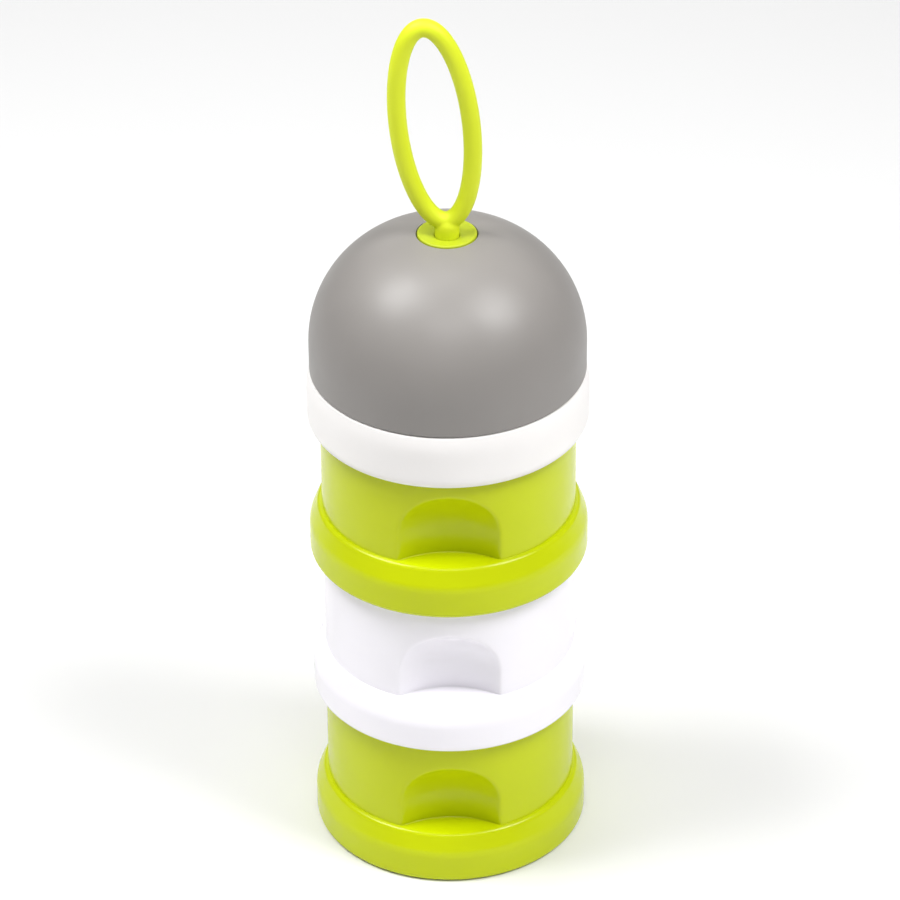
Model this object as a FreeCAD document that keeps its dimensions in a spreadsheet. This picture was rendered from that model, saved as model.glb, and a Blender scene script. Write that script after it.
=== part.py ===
import FreeCAD, Part
import math
import os

import Sketcher

from FreeCAD import Placement, Rotation, Vector

# Formula dispenser: three stacked screw-together containers, a lid with a pouring spout,
# a snap-on dome over the spout and a soft carry loop that swivels in the dome's top.
# Millimetres, +Z up, origin at the centre of the base.

DIMS = {
    "stackPitch": 46.6,        # from one base ring to the next
    "ringRadius": 40.0,        # base rings and lid collar
    "edgeRound": 1.7,          # foot edge of a base ring
    "bandHeight": 9.6,         # straight side of a base ring, with a soft corner above it
    "bandRound": 3.0,
    "crestRadius": 37.5,       # ring's upper edge
    "crestHeight": 15.6,
    "crestRound": 1.5,
    "bodyRadius": 36.4,
    "bodyTop": 47.9,           # step from wall to screw neck, just inside the ring above
    "neckRadius": 36.0,
    "rimHeight": 55.6,
    "rimChamfer": 0.5,
    "cavityRadius": 34.4,
    "cavityRound": 4.0,
    "floorTop": 12.5,
    "floorUnder": 10.5,
    "skirtBore": 37.4,
    "mouthChamfer": 0.2,
    "plugOuter": 33.3,         # ring under each floor that enters the neck below
    "plugWall": 1.4,
    "plugDepth": 2.6,
    "sealHeight": 1.3,
    "sealGap": 0.1,
    "sealRound": 0.4,
    "threadLead": 16.0,        # rise for one whole turn
    "threadStarts": 4,
    "threadRoot": 2.2,         # ridge thickness along the axis, at its root and its tip
    "threadTip": 1.4,
    "threadRise": 1.0,
    "threadBite": 0.3,         # how far a ridge is sunk into its wall
    "neckThreadStart": 50.6,
    "neckThreadTurns": 0.21,
    "skirtThreadStart": 2.0,
    "skirtThreadTurns": 0.27,
    "recessHalfWidth": 14.4,   # thumb recess
    "recessDepth": 7.5,
    "recessStraight": 8.0,     # height of its upright sides
    "recessArch": 14.4,        # height of the arch above them
    "recessWall": 1.8,
    "collarDrop": 3.4,         # how far the lid's collar hangs below the rim of a ring
    "collarInset": 1.3,
    "collarBandLow": -0.6,
    "collarBandHigh": 7.0,
    "collarTop": 12.8,
    "collarTopInset": 0.9,
    "upstandOuter": 37.0,      # rim on the lid that the dome snaps over
    "upstandInner": 35.4,
    "upstandTop": 17.0,
    "funnelFoot": 13.4,
    "funnelLip": 0.8,          # inner cone starts this much lower than the outer one
    "funnelFootRadius": 34.0,
    "funnelTop": 34.5,
    "funnelStep": 1.5,
    "funnelRound": 7.0,
    "spoutOuter": 9.6,
    "spoutInner": 7.8,
    "spoutTop": 43.0,
    "lipHeight": 152.8,        # dome's lower edge above the base
    "domeRadius": 39.1,
    "domeSkirt": 8.3,
    "domeWall": 1.8,
    "lipRound": 0.6,
    "domeHole": 8.6,
    "domeTop": 42.4,           # height of the edge round that hole
    "domeSeat": 40.3,          # flat seat inside the dome's top
    "closureInner": 9.8,       # ring inside the dome that closes the spout
    "closureOuter": 11.4,
    "closureLow": 25.0,
    "discRadius": 8.35,
    "discRim": 42.9,
    "discDish": 42.0,
    "discRound": 0.5,
    "dishRadius": 24.0,
    "flangeRadius": 9.7,
    "flangeTop": 40.25,
    "flangeLow": 38.2,
    "swivelBore": 3.57,
    "stemRadius": 3.5,
    "headRadius": 5.4,         # barbed head that holds the loop in
    "headTop": 38.1,
    "headLow": 34.6,
    "headTipRadius": 3.0,
    "headEdge": 1.2,
    "stemTop": 48.1,
    "loopHalfWidth": 9.94,     # of the centre line
    "loopHalfHeight": 29.72,
    "loopEndRadius": 4.5,
    "loopTube": 2.59,
    "loopFoot": 46.45,          # lowest point of the centre line, above the dome's lip
    "loopLean": 6.1,           # degrees
}

THREAD_TURN = 20.0     # degrees, where the first ridge starts
SCOOP_CORE = 0.6       # inner radius of the turned shape, as a share of its own radius
SCOOP_TURN = 76.0      # degrees, wide enough for the whole recess

doc = FreeCAD.newDocument("formula_dispenser")
sheet = doc.addObject("Spreadsheet::Sheet", "dims")


def fillSheet():
    for row, (alias, value) in enumerate(DIMS.items(), start=1):
        sheet.set(f"A{row}", alias)
        sheet.set(f"B{row}", str(value))
        sheet.setAlias(f"B{row}", alias)
    doc.recompute()


def valueOf(expression):
    """Work out an expression in the sheet's own aliases."""
    return float(sheet.evalExpression(expression))


def bound(expression):
    """The same expression as seen from another object of the document."""
    words = sorted(DIMS, key=len, reverse=True)
    text = expression
    for number, word in enumerate(words):
        text = text.replace(word, f"<{number}>")
    for number, word in enumerate(words):
        text = text.replace(f"<{number}>", f"dims.{word}")
    return text


def newBody(name, lift="0"):
    body = doc.addObject("PartDesign::Body", name)
    body.Label = name
    body.setExpression("Placement.Base.z", bound(lift))
    return body


def newSketch(body, name, role="XZ_Plane"):
    plane = next(item for item in body.Origin.OriginFeatures if item.Role == role)
    sketch = body.newObject("Sketcher::SketchObject", name)
    sketch.AttachmentSupport = (plane, [""])
    sketch.MapMode = "FlatFace"
    return sketch


def arcBetween(start, end, radius):
    """Arc from start to end; a positive radius turns left, a negative one turns right."""
    size = abs(radius)
    chord = end - start
    middle = (start + end) * 0.5
    side = Vector(-chord.y, chord.x, 0).normalize()
    reach = math.sqrt(max(size * size - chord.Length * chord.Length / 4, 0.0))
    center = middle + side * (reach if radius > 0 else -reach)
    circle = Part.Circle(center, Vector(0, 0, 1), size)
    first = math.atan2(start.y - center.y, start.x - center.x)
    last = math.atan2(end.y - center.y, end.x - center.x)
    if radius > 0:
        return Part.ArcOfCircle(circle, first, last)
    return Part.ArcOfCircle(circle, last, first)


def pinPoint(sketch, geometry, end, across, up):
    """Hold one end of a run at two expressions measured from the sketch's origin."""
    for kind, text, axis in (("DistanceX", across, -2), ("DistanceY", up, -1)):
        if text == "0":
            sketch.addConstraint(Sketcher.Constraint("PointOnObject", geometry, end, axis))
            continue
        value = valueOf(text)
        index = sketch.addConstraint(Sketcher.Constraint(kind, -1, 1, geometry, end, value))
        sketch.setExpression(f"Constraints[{index}]", bound(text))


def drawOutline(sketch, corners):
    """Closed outline through corners (across, up) or (across, up, radius of the arc that leaves it)."""
    points = [Vector(valueOf(corner[0]), valueOf(corner[1]), 0) for corner in corners]
    ends = []
    for index, corner in enumerate(corners):
        start = points[index]
        stop = points[(index + 1) % len(points)]
        if len(corner) == 3:
            radius = valueOf(corner[2])
            geometry = sketch.addGeometry(arcBetween(start, stop, radius), False)
            ends.append((geometry, 1, 2) if radius > 0 else (geometry, 2, 1))
            bend = sketch.addConstraint(Sketcher.Constraint("Radius", geometry, abs(radius)))
            sketch.setExpression(f"Constraints[{bend}]", bound(f"abs({corner[2]})"))
        else:
            geometry = sketch.addGeometry(Part.LineSegment(start, stop), False)
            ends.append((geometry, 1, 2))
    for index, corner in enumerate(corners):
        geometry, first, last = ends[index]
        following, nextFirst, nextLast = ends[(index + 1) % len(ends)]
        sketch.addConstraint(Sketcher.Constraint("Coincident", geometry, last, following, nextFirst))
        pinPoint(sketch, geometry, first, corner[0], corner[1])


def revolve(body, name, corners):
    """Solid of revolution about the body's own vertical axis."""
    sketch = newSketch(body, name + "Outline")
    drawOutline(sketch, corners)
    feature = body.newObject("PartDesign::Revolution", name)
    feature.Profile = sketch
    feature.ReferenceAxis = (sketch, ["V_Axis"])
    feature.Angle = 360
    doc.recompute()
    return feature


def addThread(body, name, wallRadius, direction, start, turns):
    """Helical ridges, one for each start; direction is 1 outwards on a neck, -1 inwards in a skirt."""
    root = f"{wallRadius} - {direction} * threadBite"
    tip = f"{wallRadius} + {direction} * threadRise"
    sketch = newSketch(body, name + "Section")
    sketch.AttachmentOffset = Placement(Vector(), Rotation(Vector(0, 1, 0), THREAD_TURN))
    corners = [
        (root, f"{start} - threadRoot / 2"),
        (tip, f"{start} - threadTip / 2"),
        (tip, f"{start} + threadTip / 2"),
        (root, f"{start} + threadRoot / 2"),
    ]
    drawOutline(sketch, corners)
    ridge = body.newObject("PartDesign::AdditiveHelix", name)
    ridge.Profile = sketch
    ridge.ReferenceAxis = (sketch, ["V_Axis"])
    ridge.Mode = "pitch-turns-angle"
    ridge.setExpression("Pitch", bound("threadLead"))
    ridge.setExpression("Turns", bound(turns))
    doc.recompute()
    pattern = body.newObject("PartDesign::PolarPattern", name + "Starts")
    pattern.Originals = [ridge]
    pattern.Axis = (sketch, ["V_Axis"])
    pattern.Angle = 360
    pattern.Occurrences = int(DIMS["threadStarts"])
    body.Tip = pattern
    doc.recompute()


def roundEdges(body, name, radiusAlias, wanted):
    """Fillet the tip's circular edges that lie at the wanted (radius, height) pairs."""
    tip = body.Tip
    picked = []
    for number, edge in enumerate(tip.Shape.Edges, start=1):
        curve = edge.Curve
        if not isinstance(curve, Part.Circle):
            continue
        for radius, height in wanted:
            if abs(curve.Radius - valueOf(radius)) < 0.01 and abs(curve.Center.z - valueOf(height)) < 0.01:
                picked.append(f"Edge{number}")
    feature = body.newObject("PartDesign::Fillet", name)
    feature.Base = (tip, picked)
    feature.setExpression("Radius", bound(radiusAlias))
    doc.recompute()


def tangentRadius(rise, inset):
    """Radius of an arc that leaves a vertical wall and is inset by so much after such a rise."""
    return f"(({rise})^2 + ({inset})^2) / (2 * ({inset}))"


def skirtInside():
    """Underside that every container and the lid share: seal seat, plug ring and skirt bore."""
    return [
        ("plugOuter - plugWall", "floorUnder - plugDepth"),
        ("plugOuter", "floorUnder - plugDepth"),
        ("plugOuter", "floorUnder"),
        ("skirtBore", "floorUnder"),
    ]


def addRecess(body):
    """Thumb recess: a bump on the inside of the wall, trimmed outside, then the scoop itself."""
    chordDepth = "(bodyRadius - sqrt(bodyRadius^2 - recessHalfWidth^2))"
    bow = f"(recessDepth - {chordDepth})"
    scoopRadius = f"((recessHalfWidth^2 + {bow}^2) / (2 * {bow}))"
    reach = f"(bodyRadius - recessDepth + {scoopRadius})"
    turnScoop(body, "recessBump", "PartDesign::Revolution", scoopRadius, reach, "recessWall", "floorUnder + 1")
    trimOutside(body)
    turnScoop(body, "recessScoop", "PartDesign::Groove", scoopRadius, reach, "0", "crestHeight")


def turnScoop(body, name, kind, scoopRadius, reach, grow, low):
    """Part of a turned shape with an upright side and a domed crown, on an axis in front of the wall."""
    sketch = newSketch(body, name + "Outline", "YZ_Plane")
    radius = valueOf(scoopRadius)
    axis = -valueOf(reach)
    outer = radius + valueOf(grow)
    inner = radius * SCOOP_CORE
    shrink = (valueOf(reach) - valueOf("bodyRadius")) / radius
    crown = valueOf("recessArch") / math.sqrt(1 - shrink * shrink) + valueOf(grow)
    spring = valueOf("crestHeight + recessStraight")
    turn = math.acos(inner / outer)
    foot = Vector(axis + inner, valueOf(low), 0)
    side = Vector(axis + outer, valueOf(low), 0)
    springPoint = Vector(axis + outer, spring, 0)
    crownPoint = Vector(axis + inner, spring + crown * math.sin(turn), 0)
    ellipse = Part.Ellipse(Vector(axis, spring, 0), outer, crown)
    sketch.addGeometry([
        Part.LineSegment(foot, side),
        Part.LineSegment(side, springPoint),
        Part.ArcOfEllipse(ellipse, 0, turn),
        Part.LineSegment(crownPoint, foot),
    ], False)
    for first, second in ((0, 1), (1, 2), (2, 3), (3, 0)):
        sketch.addConstraint(Sketcher.Constraint("Coincident", first, 2, second, 1))
    sketch.addGeometry(Part.LineSegment(Vector(axis, 0, 0), Vector(axis, spring, 0)), True)
    feature = body.newObject(kind, name)
    feature.Profile = sketch
    feature.ReferenceAxis = (sketch, ["Axis0"])
    feature.Midplane = True
    feature.Angle = SCOOP_TURN
    doc.recompute()


def trimOutside(body):
    sketch = newSketch(body, "trimOutline")
    drawOutline(sketch, [
        ("ringRadius", "bandHeight"),
        ("crestRadius", "crestHeight"),
        ("bodyRadius", "crestHeight"),
        ("bodyRadius", "bodyTop"),
        ("ringRadius * 2", "bodyTop"),
        ("ringRadius * 2", "bandHeight"),
    ])
    feature = body.newObject("PartDesign::Groove", "trim")
    feature.Profile = sketch
    feature.ReferenceAxis = (sketch, ["V_Axis"])
    feature.Angle = 360
    doc.recompute()


def makeContainer(name, lift):
    body = newBody(name, lift)
    revolve(body, "wall", [
        ("skirtBore", "mouthChamfer"),
        ("skirtBore + mouthChamfer", "0"),
        ("ringRadius - edgeRound", "0", "edgeRound"),
        ("ringRadius", "edgeRound"),
        ("ringRadius", "bandHeight"),
        ("crestRadius", "crestHeight"),
        ("bodyRadius", "crestHeight"),
        ("bodyRadius", "bodyTop"),
        ("neckRadius", "bodyTop"),
        ("neckRadius", "rimHeight - rimChamfer"),
        ("neckRadius - rimChamfer", "rimHeight"),
        ("cavityRadius", "rimHeight"),
        ("cavityRadius", "floorTop + cavityRound", "-cavityRound"),
        ("cavityRadius - cavityRound", "floorTop"),
        ("0", "floorTop"),
        ("0", "floorUnder"),
        ("plugOuter - plugWall", "floorUnder"),
    ] + skirtInside())
    addRecess(body)
    roundEdges(body, "crestFillet", "crestRound", [("crestRadius", "crestHeight")])
    roundEdges(body, "bandFillet", "bandRound", [("ringRadius", "bandHeight")])
    addThread(body, "neckThread", "neckRadius", 1, "neckThreadStart", "neckThreadTurns")
    addThread(body, "skirtThread", "skirtBore", -1, "skirtThreadStart", "skirtThreadTurns")
    return body


def makeSeal(name, lift):
    """Flat gasket that stays in the seat under a floor and rests on the rim below."""
    body = newBody(name, lift)
    low = "rimHeight - stackPitch + sealGap"
    inner = "plugOuter + sealGap"
    outer = "skirtBore - sealGap"
    revolve(body, "ring", [
        (inner, low),
        (outer, low),
        (outer, f"{low} + sealHeight"),
        (inner, f"{low} + sealHeight"),
    ])
    corners = [(inner, low), (outer, low), (inner, f"{low} + sealHeight"), (outer, f"{low} + sealHeight")]
    roundEdges(body, "ringFillet", "sealRound", corners)
    return body


def makeLid(name, lift):
    """White collar that screws onto the top neck, with the funnel and spout rising from it."""
    body = newBody(name, lift)
    revolve(body, "shell", [
        ("skirtBore", "mouthChamfer - collarDrop"),
        ("skirtBore + mouthChamfer", "-collarDrop"),
        ("ringRadius - collarInset", "-collarDrop", tangentRadius("collarDrop + collarBandLow", "collarInset")),
        ("ringRadius", "collarBandLow"),
        ("ringRadius", "collarBandHigh", tangentRadius("collarTop - collarBandHigh", "collarTopInset")),
        ("ringRadius - collarTopInset", "collarTop"),
        ("upstandOuter", "collarTop"),
        ("upstandOuter", "upstandTop - rimChamfer"),
        ("upstandOuter - rimChamfer", "upstandTop"),
        ("upstandInner", "upstandTop"),
        ("upstandInner", "funnelFoot"),
        ("funnelFootRadius", "funnelFoot"),
        ("spoutOuter", "funnelTop"),
        ("spoutOuter", "spoutTop"),
        ("spoutInner", "spoutTop"),
        ("spoutInner", "funnelTop - funnelStep"),
        ("plugOuter - plugWall", "funnelFoot - funnelLip"),
    ] + skirtInside())
    roundEdges(body, "spoutFillet", "funnelRound",
               [("spoutOuter", "funnelTop"), ("spoutInner", "funnelTop - funnelStep")])
    addThread(body, "skirtThread", "skirtBore", -1, "skirtThreadStart", "skirtThreadTurns")
    return body


def makeDome(name, lift):
    body = newBody(name, lift)
    outerArc = tangentRadius("domeTop - domeSkirt", "domeRadius - domeHole")
    innerArc = f"({outerArc} - domeWall)"
    offAxis = f"(domeRadius - {outerArc})"
    revolve(body, "shell", [
        ("domeRadius - domeWall", "0"),
        ("domeRadius - lipRound", "0", "lipRound"),
        ("domeRadius", "lipRound"),
        ("domeRadius", "domeSkirt", outerArc),
        ("domeHole", "domeTop"),
        ("domeHole", "domeSeat"),
        ("closureInner", "domeSeat"),
        ("closureInner", "closureLow"),
        ("closureOuter", "closureLow"),
        ("closureOuter", f"domeSkirt + sqrt({innerArc}^2 - (closureOuter - {offAxis})^2)", f"-{innerArc}"),
        ("domeRadius - domeWall", "domeSkirt"),
    ])
    return body


def makePlug(name, lift):
    """Dished disc set into the dome's top, with a flange inside and the swivel's bore."""
    body = newBody(name, lift)
    revolve(body, "disc", [
        ("swivelBore", "flangeLow"),
        ("flangeRadius", "flangeLow"),
        ("flangeRadius", "flangeTop"),
        ("discRadius", "flangeTop"),
        ("discRadius", "discRim - discRound", "discRound"),
        ("discRadius - discRound", "discRim", "-dishRadius"),
        ("swivelBore", "discDish"),
    ])
    return body


def makeLoop(name, lift):
    """Soft oval loop on a stem; the stem turns in the plug and a barbed head holds it in."""
    body = newBody(name, lift)
    revolve(body, "stem", [
        ("0", "headLow"),
        ("headTipRadius", "headLow"),
        ("headRadius", "headTop - headEdge"),
        ("headRadius", "headTop"),
        ("stemRadius", "headTop"),
        ("stemRadius", "stemTop - stemRadius", "stemRadius"),
        ("0", "stemTop"),
    ])
    lean = valueOf("loopLean")
    route = newSketch(body, "route")
    route.AttachmentOffset = Placement(Vector(0, valueOf("loopFoot"), 0), Rotation(Vector(0, 0, 1), lean))
    drawOval(route)
    section = newSketch(body, "section", "YZ_Plane")
    section.AttachmentOffset = Placement(Vector(0, valueOf("loopFoot"), 0), Rotation(Vector(1, 0, 0), -lean))
    section.addGeometry(Part.Circle(Vector(), Vector(0, 0, 1), valueOf("loopTube")), False)
    section.addConstraint(Sketcher.Constraint("Coincident", 0, 3, -1, 1))
    width = section.addConstraint(Sketcher.Constraint("Radius", 0, valueOf("loopTube")))
    section.setExpression(f"Constraints[{width}]", bound("loopTube"))
    pipe = body.newObject("PartDesign::AdditivePipe", "tube")
    pipe.Profile = section
    pipe.Spine = (route, [f"Edge{number}" for number in range(1, 6)])
    doc.recompute()
    return body


def drawOval(sketch):
    """Four-centred oval that stands on the sketch's origin, drawn as five tangent arcs."""
    end = valueOf("loopEndRadius")
    half = valueOf("loopHalfWidth") - end
    rise = valueOf("loopHalfHeight") - end
    shift = (rise * rise - half * half) / (2 * half)
    side = shift + valueOf("loopHalfWidth")
    middle = valueOf("loopHalfHeight")
    tilt = math.atan2(rise, shift)
    quarter = math.pi / 2
    for center, radius, first, last in (
        (Vector(0, end, 0), end, -quarter, -tilt),
        (Vector(-shift, middle, 0), side, -tilt, tilt),
        (Vector(0, middle + rise, 0), end, tilt, 2 * quarter - tilt),
        (Vector(shift, middle, 0), side, 2 * quarter - tilt, 2 * quarter + tilt),
        (Vector(0, end, 0), end, 2 * quarter + tilt, 3 * quarter),
    ):
        circle = Part.Circle(center, Vector(0, 0, 1), radius)
        sketch.addGeometry(Part.ArcOfCircle(circle, first, last), False)
    for arc in range(5):
        sketch.addConstraint(Sketcher.Constraint("Coincident", arc, 2, (arc + 1) % 5, 1))


def checkAndExport(bodies):
    for item in doc.Objects:
        if "Invalid" in item.State or "Error" in item.State:
            raise RuntimeError(f"{item.Name} did not rebuild: {item.State}")
    for body in bodies:
        if body.Shape.isNull() or not body.Shape.isValid() or len(body.Shape.Solids) != 1:
            raise RuntimeError(f"{body.Label} is not one valid solid")
    os.makedirs("parts", exist_ok=True)
    for body in bodies:
        body.Shape.exportStep(f"parts/{body.Label}.step")
        box = body.Shape.optimalBoundingBox()
        print(f"{body.Label}: {body.Shape.Volume / 1000:.2f} cm3, z {box.ZMin:.1f} to {box.ZMax:.1f}")


fillSheet()
parts = []
for level, place in enumerate(("bottom", "middle", "top")):
    parts.append(makeContainer(f"container_{place}", f"stackPitch * {level}"))
for level, place in enumerate(("lower", "upper", "lid"), start=1):
    parts.append(makeSeal(f"{place}_seal", f"stackPitch * {level}"))
parts.append(makeLid("spout_lid", "stackPitch * 3"))
parts.append(makeDome("dome_cap", "lipHeight"))
parts.append(makePlug("loop_plug", "lipHeight"))
parts.append(makeLoop("carry_loop", "lipHeight"))
doc.recompute()
checkAndExport(parts)
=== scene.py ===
import math
import bmesh
import bpy
from mathutils import Matrix, Vector


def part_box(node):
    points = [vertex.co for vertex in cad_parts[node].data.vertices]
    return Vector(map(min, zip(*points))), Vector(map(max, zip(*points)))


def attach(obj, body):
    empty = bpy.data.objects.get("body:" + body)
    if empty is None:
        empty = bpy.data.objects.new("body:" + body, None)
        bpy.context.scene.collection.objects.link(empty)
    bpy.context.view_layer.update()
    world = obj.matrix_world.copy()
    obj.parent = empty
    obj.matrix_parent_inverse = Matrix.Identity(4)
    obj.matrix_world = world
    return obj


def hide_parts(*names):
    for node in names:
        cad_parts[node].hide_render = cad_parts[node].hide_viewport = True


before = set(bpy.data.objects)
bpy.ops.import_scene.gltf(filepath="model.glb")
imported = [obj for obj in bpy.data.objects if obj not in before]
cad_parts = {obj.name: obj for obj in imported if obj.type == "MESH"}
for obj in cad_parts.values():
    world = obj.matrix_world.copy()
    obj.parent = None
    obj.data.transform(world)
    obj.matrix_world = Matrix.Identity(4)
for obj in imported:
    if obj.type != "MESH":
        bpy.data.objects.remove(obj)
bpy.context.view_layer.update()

mm = 0.001
levels = ("bottom", "middle", "top")
baseHeights = [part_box(f"container_{place}")[0].z for place in levels]
stackPitch = baseHeights[1] - baseHeights[0]
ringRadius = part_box("container_bottom")[1].x
lidHeight = stackPitch * 3                      # where a fourth ring would stand
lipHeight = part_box("dome_cap")[0].z
print("stage: frame loaded,", len(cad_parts), "parts")

cameraSettings = {
    "lens": 170.2,
    "distance": 1.256,
    "elevation": 35.311,       # degrees, seen from the joint under the middle container
    "pitch": 32.312,           # degrees below level
    "yaw": -0.025,
    "roll": 0.361,
    "nearest": 0.05,
    "farthest": 20.0,
}

lightSettings = {
    "world": 0.22,
    "worldColor": (1.0, 1.0, 1.0),
    "floorColor": (0.77, 0.77, 0.77),
    "floorRoughness": 0.9,
    "floorSize": 40.0,
    # name: place and aim in metres, size across and up, power in watts
    "panels": {
        "softLeft": ((-0.52, -0.05, 1.0), (0.0, 0.0, 0.13), (0.42, 0.48), 9.0),
        "softRight": ((0.58, -0.28, 0.95), (0.0, 0.0, 0.13), (0.42, 0.48), 8.6),
        "overhead": ((0.0, 0.15, 1.15), (0.0, 0.0, 0.13), (0.30, 0.40), 1.6),
        "frontTop": ((0.0, -0.62, 0.95), (0.0, 0.0, 0.13), (0.45, 0.25), 2.0),
        "backFill": ((0.0, 1.6, 0.9), (0.0, 1.7, 0.0), (1.8, 0.8), 9.0),
    },
}


def placeCamera(settings):
    angle = math.radians(settings["elevation"])
    target = Vector((0, 0, stackPitch))
    back = Vector((0, -math.cos(angle), math.sin(angle))) * settings["distance"]
    data = bpy.data.cameras.new("viewCamera")
    data.lens = settings["lens"]
    data.clip_start = settings["nearest"]
    data.clip_end = settings["farthest"]
    camera = bpy.data.objects.new("viewCamera", data)
    bpy.context.scene.collection.objects.link(camera)
    turn = Matrix.Rotation(math.radians(settings["yaw"]), 4, "Z")
    turn = turn @ Matrix.Rotation(math.radians(90 - settings["pitch"]), 4, "X")
    roll = Matrix.Rotation(-math.radians(settings["roll"]), 4, "Z")
    camera.matrix_world = Matrix.Translation(target + back) @ turn @ roll
    bpy.context.scene.camera = camera


def placeFloor(settings):
    half = settings["floorSize"] / 2
    mesh = bpy.data.meshes.new("floor")
    corners = [(-half, -half, 0), (half, -half, 0), (half, half, 0), (-half, half, 0)]
    mesh.from_pydata(corners, [], [(0, 1, 2, 3)])
    floor = bpy.data.objects.new("floor", mesh)
    bpy.context.scene.collection.objects.link(floor)
    paint = bpy.data.materials.new("paperFloor")
    paint.use_nodes = True
    shader = paint.node_tree.nodes["Principled BSDF"]
    shader.inputs["Base Color"].default_value = (*settings["floorColor"], 1)
    shader.inputs["Roughness"].default_value = settings["floorRoughness"]
    mesh.materials.append(paint)


def placeLights(settings):
    for name, (place, aim, size, power) in settings["panels"].items():
        data = bpy.data.lights.new(name, "AREA")
        data.shape = "RECTANGLE"
        data.size, data.size_y = size
        data.energy = power
        lamp = bpy.data.objects.new(name, data)
        bpy.context.scene.collection.objects.link(lamp)
        lamp.location = place
        lamp.rotation_euler = (Vector(aim) - Vector(place)).to_track_quat("-Z", "Y").to_euler()
    world = bpy.data.worlds.new("studio")
    world.use_nodes = True
    sky = world.node_tree.nodes["Background"]
    sky.inputs["Color"].default_value = (*settings["worldColor"], 1)
    sky.inputs["Strength"].default_value = settings["world"]
    bpy.context.scene.world = world
    bpy.context.scene.view_settings.view_transform = "Standard"   # keeps the bright lime true


finishes = {
    "limePlastic": {
        "color": (0.540, 0.620, 0.001), "shade": (0.520, 0.600, 0.001), "roughness": (0.20, 0.26),
        "grain": 2600, "grainHeight": 0.02, "wave": 60, "waveHeight": 0.02, "gleam": 0.27, "glow": 0.0,
        "glowRadius": (0.9, 1.0, 0.2),
    },
    "whitePlastic": {
        "color": (0.91, 0.89, 0.94), "shade": (0.89, 0.87, 0.92), "roughness": (0.20, 0.26),
        "grain": 2600, "grainHeight": 0.02, "wave": 60, "waveHeight": 0.02, "gleam": 0.4, "glow": 0.0,
        "glowRadius": (1.0, 1.0, 1.0),
    },
    "whiteSatin": {
        "color": (0.875, 0.855, 0.84), "shade": (0.855, 0.835, 0.82), "roughness": (0.40, 0.50),
        "grain": 3200, "grainHeight": 0.03, "wave": 70, "waveHeight": 0.04, "gleam": 0.45, "glow": 0.08,
        "glowRadius": (1.0, 1.0, 1.0),
    },
    "greySatin": {
        "color": (0.250, 0.235, 0.223), "shade": (0.238, 0.224, 0.212), "roughness": (0.38, 0.44),
        "grain": 3600, "grainHeight": 0.04, "wave": 50, "waveHeight": 0.04, "gleam": 0.5, "glow": 0.0,
        "glowRadius": (1.0, 1.0, 1.0),
    },
    # painted shade: the loop's lime silicone made darker, so the plug disc looks shaded
    "plugSiliconePaintedShade": {
        "color": (0.430, 0.500, 0.012), "shade": (0.400, 0.470, 0.010), "roughness": (0.46, 0.58),
        "grain": 3000, "grainHeight": 0.05, "wave": 120, "waveHeight": 0.05, "gleam": 0.45, "glow": 0.1,
        "glowRadius": (0.9, 1.0, 0.15),
    },
    "limeSilicone": {
        "color": (0.660, 0.740, 0.014), "shade": (0.620, 0.700, 0.010), "roughness": (0.46, 0.58),
        "grain": 3000, "grainHeight": 0.05, "wave": 120, "waveHeight": 0.05, "gleam": 0.45, "glow": 0.2,
        "glowRadius": (0.9, 1.0, 0.15),
    },
    "milkySilicone": {
        "color": (0.74, 0.74, 0.72), "shade": (0.70, 0.70, 0.69), "roughness": (0.38, 0.50),
        "grain": 3000, "grainHeight": 0.04, "wave": 120, "waveHeight": 0.05, "gleam": 0.45, "glow": 0.3,
        "glowRadius": (1.0, 1.0, 1.0),
    },
}


surfaceSettings = {
    "cloudScale": 38, "cloudDetail": 3,               # slightly deeper patches of colour
    "sheenScale": 90, "sheenDetail": 2,               # where the roughness changes
    "noiseLow": 0.3, "noiseHigh": 0.7,
    "grainDetail": 2, "grainDepth": 0.05 * mm,
    "waveDetail": 1, "waveDepth": 0.1 * mm,
    "index": 1.49, "glowDepth": 1.5 * mm,
}


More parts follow.
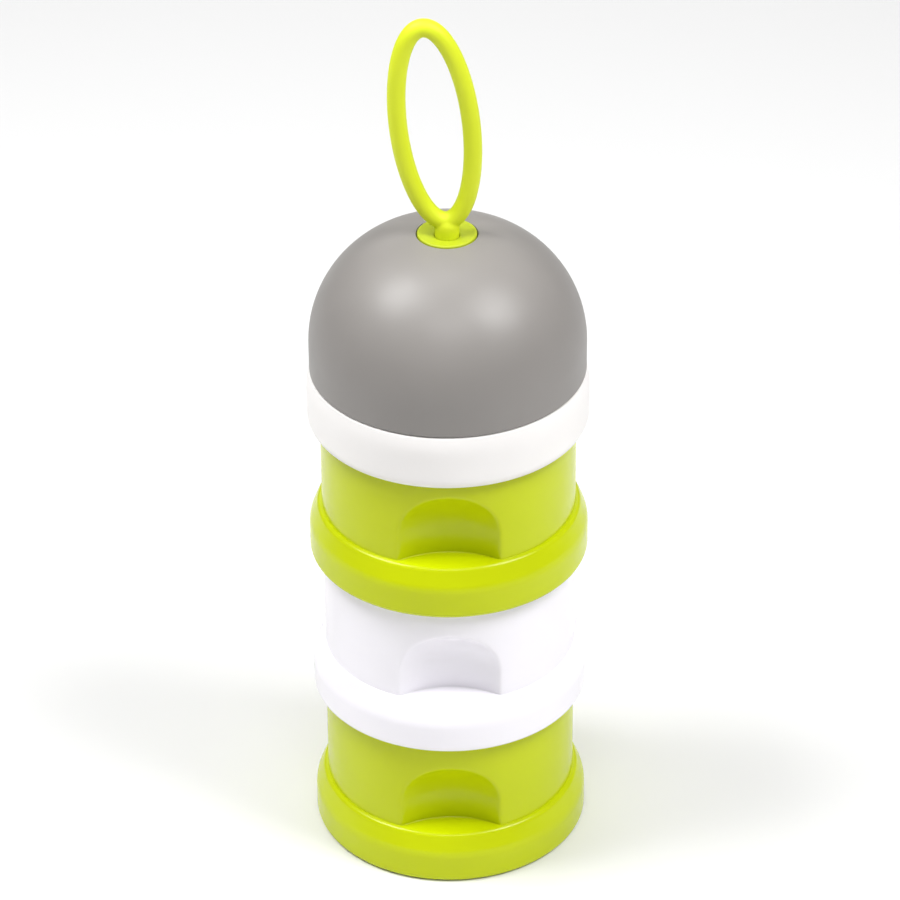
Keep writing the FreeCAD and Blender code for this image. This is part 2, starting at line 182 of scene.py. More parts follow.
def mouldedFinish(name, s):
    look = finishes[name]
    made = bpy.data.materials.new(name)
    made.use_nodes = True
    tree = made.node_tree
    nodes, links = tree.nodes, tree.links
    shader = nodes["Principled BSDF"]
    place = nodes.new("ShaderNodeTexCoord")

    def noiseAt(scale, detail):
        texture = nodes.new("ShaderNodeTexNoise")
        texture.inputs["Scale"].default_value = scale
        texture.inputs["Detail"].default_value = detail
        links.new(place.outputs["Object"], texture.inputs["Vector"])
        return texture.outputs["Fac"]

    def spread(source, low, high):
        ranged = nodes.new("ShaderNodeMapRange")
        ranged.inputs["From Min"].default_value = s["noiseLow"]
        ranged.inputs["From Max"].default_value = s["noiseHigh"]
        ranged.inputs["To Min"].default_value = low
        ranged.inputs["To Max"].default_value = high
        links.new(source, ranged.inputs["Value"])
        return ranged.outputs["Result"]

    cloud = noiseAt(s["cloudScale"], s["cloudDetail"])
    sheen = noiseAt(s["sheenScale"], s["sheenDetail"])
    mixer = nodes.new("ShaderNodeMix")
    mixer.data_type = "RGBA"
    mixer.inputs[6].default_value = (*look["color"], 1)
    mixer.inputs[7].default_value = (*look["shade"], 1)
    links.new(spread(cloud, 0, 1), mixer.inputs[0])
    links.new(mixer.outputs[2], shader.inputs["Base Color"])
    links.new(spread(sheen, *look["roughness"]), shader.inputs["Roughness"])

    grain = nodes.new("ShaderNodeBump")
    grain.inputs["Strength"].default_value = look["grainHeight"]
    grain.inputs["Distance"].default_value = s["grainDepth"]
    links.new(noiseAt(look["grain"], s["grainDetail"]), grain.inputs["Height"])
    wave = nodes.new("ShaderNodeBump")
    wave.inputs["Strength"].default_value = look["waveHeight"]
    wave.inputs["Distance"].default_value = s["waveDepth"]
    links.new(noiseAt(look["wave"], s["waveDetail"]), wave.inputs["Height"])
    links.new(grain.outputs["Normal"], wave.inputs["Normal"])
    links.new(wave.outputs["Normal"], shader.inputs["Normal"])

    shader.inputs["IOR"].default_value = s["index"]
    shader.inputs["Specular IOR Level"].default_value = look["gleam"]
    shader.inputs["Subsurface Weight"].default_value = look["glow"]
    shader.inputs["Subsurface Radius"].default_value = look["glowRadius"]
    shader.inputs["Subsurface Scale"].default_value = s["glowDepth"]
    return made


shapeSettings = {
    "onAxis": 1e-5,                                   # millimetres, as all lengths of an outline
    "noLength": 1e-6,
    "samePoint": 1e-4,
    "fewestSteps": 5, "mostSteps": 16, "stepsPerMm": 5,   # in a rounded corner
    "wholeRun": 0.6,                                  # share of the spacing under which a run isn't split
    "holdLength": 0.25, "holdShare": 0.2,             # short first step from each end of a run
}


def arcPoints(centerR, centerZ, radius, first, last, count):
    points = []
    for step in range(count + 1):
        angle = math.radians(first + (last - first) * step / count)
        points.append((centerR + radius * math.cos(angle), centerZ + radius * math.sin(angle)))
    return points


def roundCorner(before, corner, after, radius):
    s = shapeSettings
    count = max(s["fewestSteps"], min(s["mostSteps"], round(radius * s["stepsPerMm"])))
    here = Vector(corner)
    one = (Vector(before) - here).normalized()
    two = (Vector(after) - here).normalized()
    half = one.angle(two) / 2
    reach = radius / math.tan(half)
    middle = here + (one + two).normalized() * (radius / math.sin(half))
    start = here + one * reach - middle
    stop = here + two * reach - middle
    sweep = start.angle_signed(stop)
    points = []
    for step in range(count + 1):
        spoke = start.copy()
        spoke.rotate(Matrix.Rotation(-sweep * step / count, 2))
        points.append(tuple(middle + spoke))
    return points


def softOutline(corners):                                     # (r, z) or (r, z, rounding)
    points = []
    count = len(corners)
    for index, corner in enumerate(corners):
        if len(corner) == 2 or corner[2] == 0:
            points.append(tuple(corner[:2]))
            continue
        before = corners[index - 1][:2]
        after = corners[(index + 1) % count][:2]
        points += roundCorner(before, corner[:2], after, corner[2])
    return points


def refineOutline(points, longest, closed):
    s = shapeSettings
    refined = []
    count = len(points)
    for index in range(count if closed else count - 1):
        start = Vector(points[index])
        stop = Vector(points[(index + 1) % count])
        length = (stop - start).length
        if length < s["noLength"]:
            continue
        refined.append(tuple(start))
        if length <= longest * s["wholeRun"]:
            continue
        hold = min(s["holdLength"], length * s["holdShare"])
        inner = max(1, round((length - 2 * hold) / longest))
        for step in range(inner + 1):
            share = (hold + (length - 2 * hold) * step / inner) / length
            refined.append(tuple(start.lerp(stop, share)))
    if not closed:
        refined.append(tuple(points[-1]))
    return refined


def evenAngles(count):
    return [2 * math.pi * step / count for step in range(count)]


def frontAngles(coarse, fine, halfWidth):                     # closer together about the front, -Y
    front = -math.pi / 2
    half = math.radians(halfWidth)
    inside = [front - half + 2 * half * step / fine for step in range(fine + 1)]
    rest = 2 * math.pi - 2 * half
    outside = [front + half + rest * step / coarse for step in range(1, coarse)]
    return inside + outside


def turnedMesh(name, outline, angles, height, closed, tags=None):
    maker = bmesh.new()
    tagLayer = maker.verts.layers.float.new("tag") if tags else None
    rows = []
    for index, (radius, level) in enumerate(outline):
        z = height + level * mm
        if radius < shapeSettings["onAxis"]:
            row = [maker.verts.new((0, 0, z))]
        else:
            row = [maker.verts.new((radius * mm * math.cos(a), radius * mm * math.sin(a), z)) for a in angles]
        if tags:
            for vertex in row:
                vertex[tagLayer] = tags[index]
        rows.append(row)
    pairs = list(zip(rows, rows[1:]))
    if closed:
        pairs.append((rows[-1], rows[0]))
    for low, high in pairs:
        for step in range(len(angles)):
            following = (step + 1) % len(angles)
            if len(low) == 1:
                corners = (low[0], high[following], high[step])
            elif len(high) == 1:
                corners = (low[step], low[following], high[0])
            else:
                corners = (low[step], low[following], high[following], high[step])
            maker.faces.new(corners)
    bmesh.ops.recalc_face_normals(maker, faces=maker.faces)
    mesh = bpy.data.meshes.new(name)
    maker.to_mesh(mesh)
    maker.free()
    mesh.shade_smooth()
    return mesh


def addPiece(name, mesh, finish, body, nodes=()):
    piece = bpy.data.objects.new(name, mesh)
    bpy.context.scene.collection.objects.link(piece)
    if not mesh.materials:
        mesh.materials.append(materials[finish])
    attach(piece, body)
    if nodes:
        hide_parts(*nodes)


def runTree(mesh, tree, values, name):
    holder = bpy.data.objects.new(name, mesh)
    bpy.context.scene.collection.objects.link(holder)
    modifier = holder.modifiers.new(tree.name, "NODES")
    modifier.node_group = tree
    sockets = {item.name: item.identifier for item in tree.interface.items_tree
               if item.item_type == "SOCKET" and item.in_out == "INPUT"}
    for label, value in values.items():
        modifier[sockets[label]] = value
    graph = bpy.context.evaluated_depsgraph_get()
    result = bpy.data.meshes.new_from_object(holder.evaluated_get(graph), depsgraph=graph)
    holder.modifiers.remove(modifier)
    bpy.data.objects.remove(holder)
    result.name = name
    return result


def newTree(name, lengths, counts=()):
    tree = bpy.data.node_groups.new(name, "GeometryNodeTree")
    tree.interface.new_socket("Geometry", in_out="INPUT", socket_type="NodeSocketGeometry")
    for label in lengths:
        tree.interface.new_socket(label, in_out="INPUT", socket_type="NodeSocketFloat")
    for label in counts:
        tree.interface.new_socket(label, in_out="INPUT", socket_type="NodeSocketInt")
    tree.interface.new_socket("Geometry", in_out="OUTPUT", socket_type="NodeSocketGeometry")
    return tree, tree.nodes.new("NodeGroupInput"), tree.nodes.new("NodeGroupOutput")


def calc(tree, operation, *values):
    node = tree.nodes.new("ShaderNodeMath")
    node.operation = operation
    for index, value in enumerate(values):
        if isinstance(value, (int, float)):
            node.inputs[index].default_value = value
        else:
            tree.links.new(value, node.inputs[index])
    return node.outputs[0]


def square(tree, value):
    return calc(tree, "MULTIPLY", value, value)


def endTree(tree, geometry, finish, output):
    real = tree.nodes.new("GeometryNodeRealizeInstances")
    paint = tree.nodes.new("GeometryNodeSetMaterial")
    paint.inputs["Material"].default_value = materials[finish]
    tree.links.new(geometry, real.inputs["Geometry"])
    tree.links.new(real.outputs["Geometry"], paint.inputs["Geometry"])
    tree.links.new(paint.outputs["Geometry"], output.inputs[0])


containerSizes = {
    "footRound": 1.7, "bandHeight": 9.6, "bandRound": 8.0, "crestRadius": 37.5, "crestHeight": 15.6,
    "crestRound": 1.5, "wallRadius": 36.4, "wallTop": 47.9, "neckRadius": 36.0, "rimHeight": 55.6,
    "rimRound": 0.5, "cavityRadius": 34.4, "cavityRound": 4.0, "floorTop": 12.5, "floorUnder": 10.5,
    "skirtBore": 37.4, "plugOuter": 33.3, "plugWall": 1.4, "plugDepth": 2.6,
    "edgeRound": 0.3, "edgeSlack": 0.01, "ledgeRows": 8, "rowSpacing": 0.9, "recessRowSpacing": 0.5,
    "angleSteps": 110, "recessAngleSteps": 110, "recessHalfAngle": 28,
}

recessSizes = {"halfWidth": 14.4, "depth": 7.5, "straight": 8.0, "arch": 14.4, "wall": 1.8, "softness": 0.7}

threadSizes = {
    "lead": 16.0, "starts": 4, "root": 2.2, "tip": 1.4, "rise": 1.0, "bite": 0.3, "stepsPerTurn": 160,
    "sectionPoints": 5, "weld": 0.001,
    "neckRadius": 36.0, "neckStart": 50.6, "neckTurns": 0.21,
    "skirtRadius": 37.4, "skirtStart": 2.0, "skirtTurns": 0.27, "startAngle": 20.0,
}


def leanArc(high, low, inset, count):
    outer = ringRadius / mm
    radius = ((high - low) ** 2 + inset ** 2) / (2 * inset)
    last = math.degrees(math.asin((high - low) / radius))
    return arcPoints(outer - radius, low, radius, 0, last, count)


def containerOutline(s):
    outer = ringRadius / mm
    plugInner = s["plugOuter"] - s["plugWall"]
    inside = softOutline([
        (0, s["floorTop"]), (s["cavityRadius"], s["floorTop"], s["cavityRound"]),
        (s["cavityRadius"], s["rimHeight"], s["edgeRound"]), (s["neckRadius"], s["rimHeight"], s["rimRound"]),
        (s["neckRadius"], s["wallTop"], s["edgeRound"]), (s["wallRadius"], s["wallTop"], s["edgeRound"]),
        (s["wallRadius"], s["crestHeight"]),
    ])
    ledgeStart = inside.pop()
    shoulder = softOutline([
        ledgeStart, (s["crestRadius"], s["crestHeight"], s["crestRound"]),
        (outer, s["bandHeight"], s["bandRound"]), (outer, s["footRound"]),
    ])
    foot = softOutline([
        (outer, s["bandHeight"]), (outer, 0, s["footRound"]), (s["skirtBore"], 0, s["edgeRound"]),
        (s["skirtBore"], s["floorUnder"], s["edgeRound"]), (s["plugOuter"], s["floorUnder"], s["edgeRound"]),
        (s["plugOuter"], s["floorUnder"] - s["plugDepth"], s["edgeRound"]),
        (plugInner, s["floorUnder"] - s["plugDepth"], s["edgeRound"]),
        (plugInner, s["floorUnder"], s["edgeRound"]), (0, s["floorUnder"]),
    ])
    return inside, ledgeStart, shoulder[1:-1], foot[1:]


def taggedContainer(s):                 # tag 1 wall, 1 to 0 ledge, -1 cavity, 0 where nothing is pressed
    inside, ledgeStart, shoulder, foot = containerOutline(s)
    points, tags = [], []

    def take(run, spacing, tagOf):
        for point in refineOutline(run, spacing, False):
            if points and (Vector(point) - Vector(points[-1])).length < shapeSettings["samePoint"]:
                continue
            points.append(point)
            tags.append(tagOf(point))

    corner = s["edgeRound"] + s["edgeSlack"]
    rimStart = next(i for i, p in enumerate(inside) if p[1] > s["rimHeight"] - corner)
    wallStart = max(i for i, p in enumerate(inside) if p[1] > s["wallTop"] - corner)
    take(inside[:rimStart + 1], s["rowSpacing"], lambda p: -1.0)         # cavity
    take(inside[rimStart:wallStart + 1], s["rowSpacing"], lambda p: 0.0)
    take([inside[wallStart], ledgeStart], s["recessRowSpacing"], lambda p: 1.0)     # outer wall
    ledgeWidth = shoulder[0][0] - ledgeStart[0]
    ledgeStep = ledgeWidth / s["ledgeRows"]
    take([ledgeStart, shoulder[0]], ledgeStep, lambda p: 1 - (p[0] - ledgeStart[0]) / ledgeWidth)
    take(shoulder, s["rowSpacing"], lambda p: 0.0)
    take([shoulder[-1]] + foot, s["rowSpacing"], lambda p: 0.0)
    return points, tags


def recessTree():                       # presses the wall in to a scoop turned about an axis in front of it
    tree, given, output = newTree("pressThumbRecess", [
        "Base Height", "Wall Radius", "Cavity Radius", "Scoop Radius", "Scoop Reach", "Spring Height",
        "Crown", "Bump Wall", "Softness",
    ])
    value = {socket.name: socket for socket in given.outputs}
    position = tree.nodes.new("GeometryNodeInputPosition")
    split = tree.nodes.new("ShaderNodeSeparateXYZ")
    tree.links.new(position.outputs[0], split.inputs[0])
    x, y, z = split.outputs
    leastFacing = 0.3                                           # only the front half can be pressed in
    smallest = 1e-6
    tag = tree.nodes.new("GeometryNodeInputNamedAttribute")
    tag.data_type = "FLOAT"
    tag.inputs["Name"].default_value = "tag"
    tagValue = tag.outputs[0]

    radius = calc(tree, "SQRT", calc(tree, "ADD", square(tree, x), square(tree, y)))
    safeRadius = calc(tree, "MAXIMUM", radius, smallest)
    facing = calc(tree, "MULTIPLY", calc(tree, "DIVIDE", y, safeRadius), -1.0)
    isInner = calc(tree, "LESS_THAN", tagValue, -0.5)
    grow = calc(tree, "MULTIPLY", isInner, value["Bump Wall"])
    level = calc(tree, "SUBTRACT", z, value["Base Height"])
    above = calc(tree, "MAXIMUM", calc(tree, "SUBTRACT", level, value["Spring Height"]), 0.0)
    ratio = calc(tree, "DIVIDE", above, calc(tree, "ADD", value["Crown"], grow))
    left = calc(tree, "SUBTRACT", 1.0, square(tree, ratio))
    fade = calc(tree, "SQRT", calc(tree, "MAXIMUM", left, 0.0))
    reachOut = calc(tree, "MULTIPLY", calc(tree, "ADD", value["Scoop Radius"], grow), fade)
    along = calc(tree, "MULTIPLY", facing, value["Scoop Reach"])
    short = calc(tree, "SUBTRACT", square(tree, along), square(tree, value["Scoop Reach"]))
    inside = calc(tree, "ADD", short, square(tree, reachOut))
    hit = calc(tree, "SUBTRACT", along, calc(tree, "SQRT", calc(tree, "MAXIMUM", inside, 0.0)))
    behind = calc(tree, "LESS_THAN", facing, leastFacing)
    missed = calc(tree, "MAXIMUM", calc(tree, "LESS_THAN", inside, 0.0), behind)
    scoop = calc(tree, "ADD", hit, missed)                      # a miss is pushed a metre away
    thinner = calc(tree, "SUBTRACT", value["Cavity Radius"], value["Wall Radius"])
    own = calc(tree, "ADD", value["Wall Radius"], calc(tree, "MULTIPLY", isInner, thinner))
    gap = calc(tree, "SUBTRACT", own, scoop)
    root = calc(tree, "SQRT", calc(tree, "ADD", square(tree, gap), square(tree, value["Softness"])))
    pressed = calc(tree, "MULTIPLY", calc(tree, "SUBTRACT", calc(tree, "ADD", own, scoop), root), 0.5)
    innerShare = calc(tree, "DIVIDE", calc(tree, "MULTIPLY", isInner, radius), own)
    share = calc(tree, "MAXIMUM", tagValue, innerShare)
    push = calc(tree, "MULTIPLY", calc(tree, "SUBTRACT", pressed, own), share)
    scale = calc(tree, "DIVIDE", calc(tree, "ADD", safeRadius, push), safeRadius)

    moved = tree.nodes.new("ShaderNodeCombineXYZ")
    tree.links.new(calc(tree, "MULTIPLY", x, scale), moved.inputs[0])
    tree.links.new(calc(tree, "MULTIPLY", y, scale), moved.inputs[1])
    tree.links.new(z, moved.inputs[2])
    setPlace = tree.nodes.new("GeometryNodeSetPosition")
    tree.links.new(given.outputs[0], setPlace.inputs["Geometry"])
    tree.links.new(moved.outputs[0], setPlace.inputs["Position"])
    return tree, setPlace.outputs["Geometry"], output


def threadTree(finish):                 # a ridge wound from a grid, repeated once for each start
    tree, given, output = newTree("windThread" + finish, [
        "Radius", "Lead", "Turns", "Start Height", "Start Angle", "Root", "Tip", "Inner Edge", "Outer Edge",
    ], ["Starts", "Steps"])
    value = {socket.name: socket for socket in given.outputs}
    steps = calc(tree, "ADD", value["Steps"], 1)
    grid = tree.nodes.new("GeometryNodeMeshGrid")               # one column for each corner of the section
    tree.links.new(steps, grid.inputs["Vertices X"])
    grid.inputs["Vertices Y"].default_value = threadSizes["sectionPoints"]
    grid.inputs["Size X"].default_value = 1.0
    grid.inputs["Size Y"].default_value = 1.0
    position = tree.nodes.new("GeometryNodeInputPosition")
    split = tree.nodes.new("ShaderNodeSeparateXYZ")
    tree.links.new(position.outputs[0], split.inputs[0])
    along = calc(tree, "ADD", split.outputs[0], 0.5)
    across = calc(tree, "ADD", split.outputs[1], 0.5)
    corner = calc(tree, "ROUND", calc(tree, "MULTIPLY", across, threadSizes["sectionPoints"] - 1))
    first, second, third = (calc(tree, "COMPARE", corner, number, 0.1) for number in (1, 2, 3))
    isTip = calc(tree, "MAXIMUM", first, second)
    isHigh = calc(tree, "MAXIMUM", second, third)
    taper = calc(tree, "MULTIPLY", isTip, calc(tree, "SUBTRACT", value["Tip"], value["Root"]))
    half = calc(tree, "MULTIPLY", calc(tree, "ADD", value["Root"], taper), 0.5)
    side = calc(tree, "SUBTRACT", calc(tree, "MULTIPLY", isHigh, 2.0), 1.0)
    depth = calc(tree, "SUBTRACT", value["Outer Edge"], value["Inner Edge"])
    edge = calc(tree, "ADD", value["Inner Edge"], calc(tree, "MULTIPLY", isTip, depth))
    reach = calc(tree, "ADD", value["Radius"], edge)
    turns = calc(tree, "MULTIPLY", along, value["Turns"])
    turned = calc(tree, "ADD", value["Start Angle"], calc(tree, "MULTIPLY", turns, 2 * math.pi))
    climb = calc(tree, "ADD", value["Start Height"], calc(tree, "MULTIPLY", turns, value["Lead"]))
    place = tree.nodes.new("ShaderNodeCombineXYZ")
    tree.links.new(calc(tree, "MULTIPLY", calc(tree, "COSINE", turned), reach), place.inputs[0])
    tree.links.new(calc(tree, "MULTIPLY", calc(tree, "SINE", turned), reach), place.inputs[1])
    tree.links.new(calc(tree, "ADD", climb, calc(tree, "MULTIPLY", half, side)), place.inputs[2])
    bend = tree.nodes.new("GeometryNodeSetPosition")
    tree.links.new(grid.outputs["Mesh"], bend.inputs["Geometry"])
    tree.links.new(place.outputs[0], bend.inputs["Position"])
    weld = tree.nodes.new("GeometryNodeMergeByDistance")
    weld.inputs["Distance"].default_value = threadSizes["weld"] * mm
    tree.links.new(bend.outputs["Geometry"], weld.inputs["Geometry"])

    spots = tree.nodes.new("GeometryNodePoints")
    tree.links.new(value["Starts"], spots.inputs["Count"])
    number = tree.nodes.new("GeometryNodeInputIndex")
    spin = calc(tree, "DIVIDE", calc(tree, "MULTIPLY", number.outputs[0], 2 * math.pi), value["Starts"])
    turn = tree.nodes.new("ShaderNodeCombineXYZ")
    tree.links.new(spin, turn.inputs[2])
    copies = tree.nodes.new("GeometryNodeInstanceOnPoints")
    tree.links.new(spots.outputs[0], copies.inputs["Points"])
    tree.links.new(weld.outputs["Geometry"], copies.inputs["Instance"])
    tree.links.new(turn.outputs[0], copies.inputs["Rotation"])
    endTree(tree, copies.outputs["Instances"], finish, output)
    return tree


def closeRidges(mesh):
    maker = bmesh.new()
    maker.from_mesh(mesh)
    bmesh.ops.holes_fill(maker, edges=[edge for edge in maker.edges if edge.is_boundary], sides=4)
    bmesh.ops.recalc_face_normals(maker, faces=maker.faces)
    maker.to_mesh(mesh)
    maker.free()
    mesh.shade_flat()


def windThreads(name, finish, side, height, body):
    s = threadSizes
    outward = 1 if side == "neck" else -1
    mesh = runTree(bpy.data.meshes.new(name), threadTree(finish), {
        "Radius": s[side + "Radius"] * mm, "Lead": s["lead"] * mm, "Turns": s[side + "Turns"],
        "Start Height": height + s[side + "Start"] * mm, "Start Angle": math.radians(s["startAngle"]),
        "Starts": s["starts"], "Root": s["root"] * mm, "Tip": s["tip"] * mm,
        "Inner Edge": -outward * s["bite"] * mm, "Outer Edge": outward * s["rise"] * mm,
        "Steps": round(s["stepsPerTurn"] * s[side + "Turns"]),
    }, name)
    closeRidges(mesh)
    addPiece(name, mesh, finish, body)


def makeContainers():
    s, r = containerSizes, recessSizes
    bow = r["depth"] - (s["wallRadius"] - math.sqrt(s["wallRadius"] ** 2 - r["halfWidth"] ** 2))
    scoop = (r["halfWidth"] ** 2 + bow ** 2) / (2 * bow)
    reach = s["wallRadius"] - r["depth"] + scoop
    crown = r["arch"] / math.sqrt(1 - ((reach - s["wallRadius"]) / scoop) ** 2)
    points, tags = taggedContainer(s)
    angles = frontAngles(s["angleSteps"], s["recessAngleSteps"], s["recessHalfAngle"])
    bodies = {"bottom": "base", "middle": "middle", "top": "top"}
    for place, height in zip(levels, baseHeights):
        finish = "whitePlastic" if place == "middle" else "limePlastic"
        blank = turnedMesh(f"blank_{place}", points, angles, height, False, tags)
        tree, pressed, output = recessTree()
        endTree(tree, pressed, finish, output)
        mesh = runTree(blank, tree, {
            "Base Height": height,
            "Wall Radius": s["wallRadius"] * mm, "Cavity Radius": s["cavityRadius"] * mm,
            "Scoop Radius": scoop * mm, "Scoop Reach": reach * mm,
            "Spring Height": (s["crestHeight"] + r["straight"]) * mm, "Crown": crown * mm,
            "Bump Wall": r["wall"] * mm, "Softness": r["softness"] * mm,
        }, f"containerShell_{place}")
        mesh.shade_smooth()
        addPiece(f"containerShell_{place}", mesh, finish, bodies[place], [f"container_{place}"])
        windThreads(f"neckThread_{place}", finish, "neck", height, bodies[place])
        windThreads(f"skirtThread_{place}", finish, "skirt", height, bodies[place])
    print("stage: containers")


sealSizes = {"gap": 0.1, "round": 0.4, "rowSpacing": 1.2, "angleSteps": 140}


def makeSeals():
    s = sealSizes
    gaskets = {"lower_seal": "lower_gasket", "upper_seal": "upper_gasket", "lid_seal": "lid_gasket"}
    for node, body in gaskets.items():
        low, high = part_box(node)
        outer = high.x / mm
        thick = (high.z - low.z) / mm
        inner = containerSizes["plugOuter"] + s["gap"]
        corners = ((inner, 0), (outer, 0), (outer, thick), (inner, thick))
        outline = softOutline([(*corner, s["round"]) for corner in corners])
        outline = refineOutline(outline, s["rowSpacing"], True)
        mesh = turnedMesh(f"gasket_{node}", outline, evenAngles(s["angleSteps"]), low.z, True)
        addPiece(f"gasket_{node}", mesh, "milkySilicone", body, [node])
    print("stage: seals")


lidSizes = {
    "collarDrop": 3.4, "collarInset": 1.3, "bandLow": -0.6, "bandHigh": 7.0, "collarTop": 12.8,
    "topInset": 0.9, "upstandOuter": 37.0, "upstandInner": 35.4, "upstandTop": 17.0,
    "funnelFoot": 13.4, "funnelFootRadius": 34.0,
    "funnelTop": 34.5, "funnelStep": 1.5, "funnelLip": 0.8, "funnelRound": 7.0,
    "spoutOuter": 9.6, "spoutInner": 7.8, "spoutTop": 43.0, "edgeRound": 0.35,
    "collarRound": 0.5, "stepRound": 0.3, "grooveRound": 0.4, "plugRound": 0.3,
    "lowSteps": 10, "highSteps": 12, "rowSpacing": 1.2, "angleSteps": 160,
}


def makeLid():
    s, c = lidSizes, containerSizes
    outer = ringRadius / mm
    plugInner = c["plugOuter"] - c["plugWall"]
    lowRadius = ((s["collarDrop"] + s["bandLow"]) ** 2 + s["collarInset"] ** 2) / (2 * s["collarInset"])
    lowTurn = math.degrees(math.asin((s["collarDrop"] + s["bandLow"]) / lowRadius))
    lowArc = arcPoints(outer - lowRadius, s["bandLow"], lowRadius, -lowTurn, 0, s["lowSteps"])
    highArc = leanArc(s["collarTop"], s["bandHigh"], s["topInset"], s["highSteps"])
    rest = softOutline([
        highArc[-2], (*highArc[-1], s["collarRound"]), (s["upstandOuter"], s["collarTop"], s["stepRound"]),
        (s["upstandOuter"], s["upstandTop"], s["collarRound"]),
        (s["upstandInner"], s["upstandTop"], s["edgeRound"]),
        (s["upstandInner"], s["funnelFoot"], s["grooveRound"]),
        (s["funnelFootRadius"], s["funnelFoot"], s["collarRound"]),
        (s["spoutOuter"], s["funnelTop"], s["funnelRound"]),
        (s["spoutOuter"], s["spoutTop"], s["edgeRound"]), (s["spoutInner"], s["spoutTop"], s["edgeRound"]),
        (s["spoutInner"], s["funnelTop"] - s["funnelStep"], s["funnelRound"]),
        (plugInner, s["funnelFoot"] - s["funnelLip"], s["collarRound"]),
        (plugInner, c["floorUnder"] - c["plugDepth"], s["plugRound"]),
        (c["plugOuter"], c["floorUnder"] - c["plugDepth"], s["plugRound"]),
        (c["plugOuter"], c["floorUnder"], s["plugRound"]), (c["skirtBore"], c["floorUnder"], s["plugRound"]),
        (c["skirtBore"], -s["collarDrop"], s["collarRound"]), lowArc[0],
    ])
    outline = refineOutline(lowArc + highArc[:-2] + rest[:-1], s["rowSpacing"], True)
    mesh = turnedMesh("spoutLid", outline, evenAngles(s["angleSteps"]), lidHeight, True)
    addPiece("spoutLid", mesh, "whiteSatin", "lid", ["spout_lid"])
    windThreads("skirtThread_lid", "whiteSatin", "skirt", lidHeight, "lid")
    print("stage: lid")


domeSizes = {
    "radius": 39.1, "skirt": 8.3, "wall": 1.8, "lipRound": 0.6, "hole": 8.6, "top": 42.4, "holeRound": 0.25,
    "seat": 40.3, "closureInner": 9.8, "closureOuter": 11.4, "closureLow": 25.0,
    "mouthRound": 0.5, "seatRound": 0.15, "closureRound": 0.3, "closureBlend": 0.8,
    "outerSteps": 70, "innerSteps": 50, "rowSpacing": 1.2, "angleSteps": 180,
}


def makeDome():
    s = domeSizes
    rise, inset = s["top"] - s["skirt"], s["radius"] - s["hole"]
    bend = (rise ** 2 + inset ** 2) / (2 * inset)
    center = s["radius"] - bend
    topAngle = math.degrees(math.asin(rise / bend))
    closure = math.degrees(math.acos((s["closureOuter"] - center) / (bend - s["wall"])))
    outer = arcPoints(center, s["skirt"], bend, 0, topAngle, s["outerSteps"])
    inner = arcPoints(center, s["skirt"], bend - s["wall"], closure, 0, s["innerSteps"])
    outline = softOutline([
        (s["radius"] - s["wall"], 0, s["mouthRound"]), (s["radius"], 0, s["lipRound"]), outer[0]])
    outline += outer[1:-1]
    outline += softOutline([
        outer[-2], (*outer[-1], s["holeRound"]), (s["hole"], s["seat"], s["seatRound"]),
        (s["closureInner"], s["seat"], s["closureRound"]),
        (s["closureInner"], s["closureLow"], s["closureRound"]),
        (s["closureOuter"], s["closureLow"], s["closureRound"]),
        (*inner[0], s["closureBlend"]), inner[1]])[1:-1]
    outline = refineOutline(outline + inner[1:], s["rowSpacing"], True)
    mesh = turnedMesh("domeShell", outline, evenAngles(s["angleSteps"]), lipHeight, True)
    addPiece("domeShell", mesh, "greySatin", "dome", ["dome_cap"])
    print("stage: dome")


plugSizes = {
    "disc": 8.35, "rim": 42.9, "dish": 42.0, "discRound": 0.5, "flange": 9.7,
    "flangeTop": 40.25, "flangeLow": 38.2, "bore": 3.57,
    "boreRound": 0.2, "flangeRound": 0.3, "flangeEdge": 0.2, "footRound": 0.1, "dishRound": 0.3,
    "rowSpacing": 0.5, "angleSteps": 120,
}


def makePlug():
    s = plugSizes
    outline = softOutline([
        (s["bore"], s["flangeLow"], s["boreRound"]), (s["flange"], s["flangeLow"], s["flangeRound"]),
        (s["flange"], s["flangeTop"], s["flangeEdge"]), (s["disc"], s["flangeTop"], s["footRound"]),
        (s["disc"], s["rim"], s["discRound"]), (s["bore"], s["dish"], s["dishRound"])])
    outline = refineOutline(outline, s["rowSpacing"], True)
    mesh = turnedMesh("plugDisc", outline, evenAngles(s["angleSteps"]), lipHeight, True)
    # the disc takes the darker copy of the lime silicone, which is painted shade
    addPiece("plugDisc", mesh, "plugSiliconePaintedShade", "dome", ["loop_plug"])
    print("stage: plug")


loopSizes = {
    "stem": 3.5, "stemTop": 48.1,
    "head": 5.4, "headTop": 38.1, "headLow": 34.6, "headTip": 3.0, "headEdge": 1.2,
    "halfWidth": 9.94, "halfHeight": 29.72, "tube": 2.59, "foot": 46.45, "lean": 6.1,
    "tipRound": 0.6, "headRound": 0.5, "neckRound": 0.3,
    "crownSteps": 12, "rowSpacing": 0.6, "angleSteps": 64,
    "pathPoints": 160, "sectionPoints": 32, "voxel": 0.32, "smoothSteps": 8, "smoothFactor": 0.5,
}


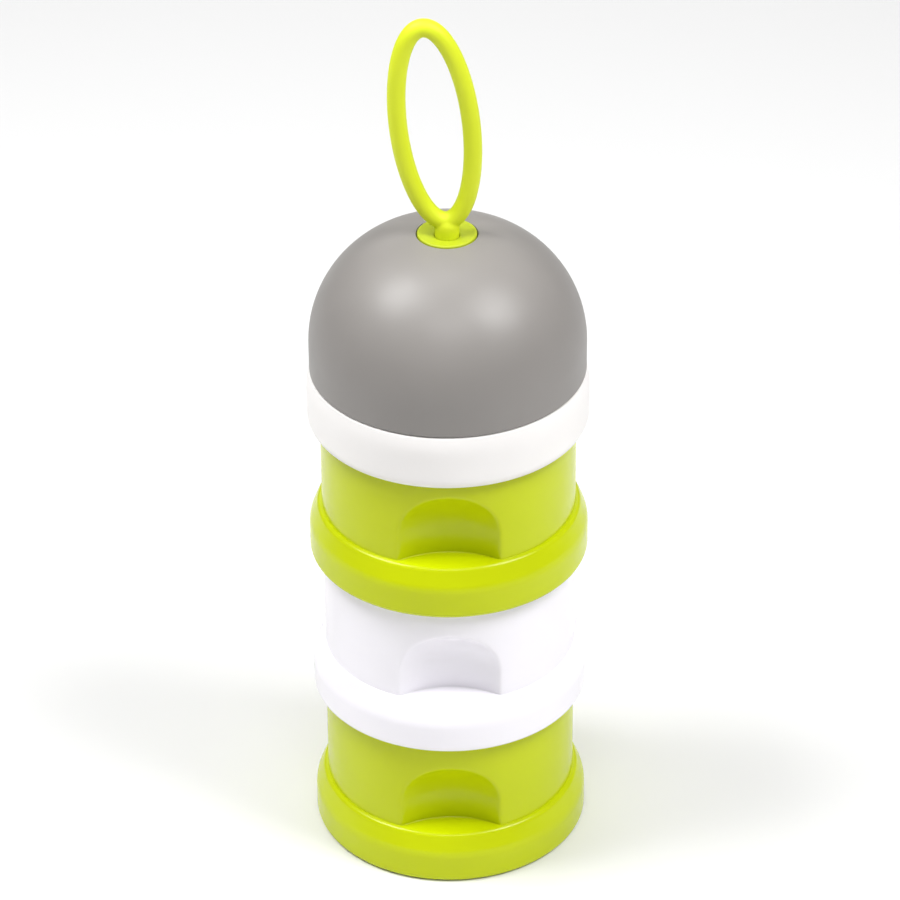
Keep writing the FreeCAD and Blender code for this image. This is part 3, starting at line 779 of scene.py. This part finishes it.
def loopTree():                         # oval centre line, leaned about its foot and swept
    tree, given, output = newTree("sweepLoop", ["Half Width", "Half Height", "Tube", "Foot", "Lean"])
    value = {socket.name: socket for socket in given.outputs}
    ring = tree.nodes.new("GeometryNodeCurvePrimitiveCircle")
    ring.inputs["Resolution"].default_value = loopSizes["pathPoints"]
    ring.inputs["Radius"].default_value = 1.0
    position = tree.nodes.new("GeometryNodeInputPosition")
    split = tree.nodes.new("ShaderNodeSeparateXYZ")
    tree.links.new(position.outputs[0], split.inputs[0])
    across = calc(tree, "MULTIPLY", split.outputs[0], value["Half Width"])
    up = calc(tree, "MULTIPLY", calc(tree, "ADD", split.outputs[1], 1.0), value["Half Height"])
    sine = calc(tree, "SINE", value["Lean"])
    cosine = calc(tree, "COSINE", value["Lean"])
    back = calc(tree, "MULTIPLY", up, sine)
    leanedAcross = calc(tree, "SUBTRACT", calc(tree, "MULTIPLY", across, cosine), back)
    rise = calc(tree, "MULTIPLY", across, sine)
    leanedUp = calc(tree, "ADD", rise, calc(tree, "MULTIPLY", up, cosine))
    place = tree.nodes.new("ShaderNodeCombineXYZ")
    tree.links.new(leanedAcross, place.inputs[0])
    tree.links.new(calc(tree, "ADD", value["Foot"], leanedUp), place.inputs[2])
    shape = tree.nodes.new("GeometryNodeSetPosition")
    tree.links.new(ring.outputs["Curve"], shape.inputs["Geometry"])
    tree.links.new(place.outputs[0], shape.inputs["Position"])
    section = tree.nodes.new("GeometryNodeCurvePrimitiveCircle")
    section.inputs["Resolution"].default_value = loopSizes["sectionPoints"]
    tree.links.new(value["Tube"], section.inputs["Radius"])
    sweep = tree.nodes.new("GeometryNodeCurveToMesh")
    tree.links.new(shape.outputs["Geometry"], sweep.inputs["Curve"])
    tree.links.new(section.outputs["Curve"], sweep.inputs["Profile Curve"])
    endTree(tree, sweep.outputs["Mesh"], "limeSilicone", output)
    return tree


def joinMeshes(name, meshes):
    maker = bmesh.new()
    for mesh in meshes:
        maker.from_mesh(mesh)
    bmesh.ops.recalc_face_normals(maker, faces=maker.faces)
    joined = bpy.data.meshes.new(name)
    maker.to_mesh(joined)
    maker.free()
    return joined


def weldSoft(mesh, voxel, factor, steps):         # grows separate solids together into one skin
    holder = bpy.data.objects.new("weld", mesh)
    bpy.context.scene.collection.objects.link(holder)
    remesh = holder.modifiers.new("skin", "REMESH")
    remesh.mode = "VOXEL"
    remesh.voxel_size = voxel
    smooth = holder.modifiers.new("soften", "SMOOTH")
    smooth.factor = factor
    smooth.iterations = steps
    graph = bpy.context.evaluated_depsgraph_get()
    result = bpy.data.meshes.new_from_object(holder.evaluated_get(graph), depsgraph=graph)
    bpy.data.objects.remove(holder)
    return result


def makeLoop():
    s = loopSizes
    ring = runTree(bpy.data.meshes.new("ring"), loopTree(), {
        "Half Width": s["halfWidth"] * mm, "Half Height": s["halfHeight"] * mm, "Tube": s["tube"] * mm,
        "Foot": lipHeight + s["foot"] * mm, "Lean": math.radians(s["lean"]),
    }, "ring")
    outline = softOutline([
        (0, s["headLow"]), (s["headTip"], s["headLow"], s["tipRound"]),
        (s["head"], s["headTop"] - s["headEdge"], s["headRound"]),
        (s["head"], s["headTop"], s["neckRound"]), (s["stem"], s["headTop"], s["neckRound"])])
    outline += arcPoints(0, s["stemTop"] - s["stem"], s["stem"], 0, 90, s["crownSteps"])
    outline = refineOutline(outline, s["rowSpacing"], False)
    stem = turnedMesh("stem", outline, evenAngles(s["angleSteps"]), lipHeight, False)
    joined = joinMeshes("loop", [ring, stem])
    mesh = weldSoft(joined, s["voxel"] * mm, s["smoothFactor"], s["smoothSteps"])
    mesh.name = "carryLoop"
    mesh.shade_smooth()
    mesh.materials.clear()
    addPiece("carryLoop", mesh, "limeSilicone", "loop", ["carry_loop"])
    print("stage: loop")


placeCamera(cameraSettings)
placeFloor(lightSettings)
placeLights(lightSettings)
materials = {name: mouldedFinish(name, surfaceSettings) for name in finishes}
makeContainers()
makeSeals()
makeLid()
makeDome()
makePlug()
makeLoop()
